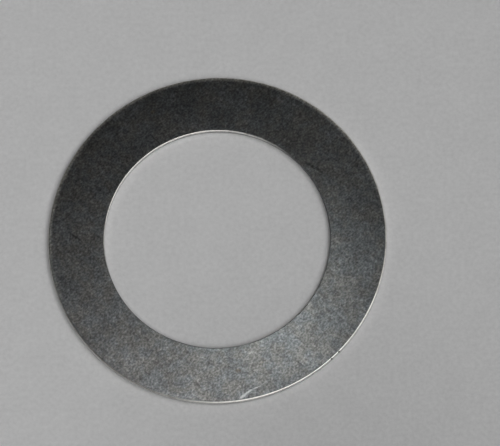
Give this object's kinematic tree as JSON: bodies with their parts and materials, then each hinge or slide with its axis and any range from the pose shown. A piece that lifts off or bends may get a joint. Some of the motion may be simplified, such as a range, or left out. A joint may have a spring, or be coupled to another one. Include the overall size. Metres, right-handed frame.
{
  "type": "shim ring",
  "caption": "Thin flat blanked steel shim ring that takes up axial play on a 12 mm shaft or in an 18 mm housing bore.",
  "frame": {"origin": "on the ring's axis, in the plane of its lower face, on which it lies", "axes": "+Z along the ring's axis, from the lower face to the upper face; the handling nicks are in the +X, -Y quarter"},
  "size_m": [0.018, 0.018, 0.0003],
  "materials": {
    "steel": "cold-rolled, fine grain, blanked edges rounded in the barrel"
  },
  "bodies": {
    "root": {"shim_ring": "steel"}
  },
  "joints": []
}
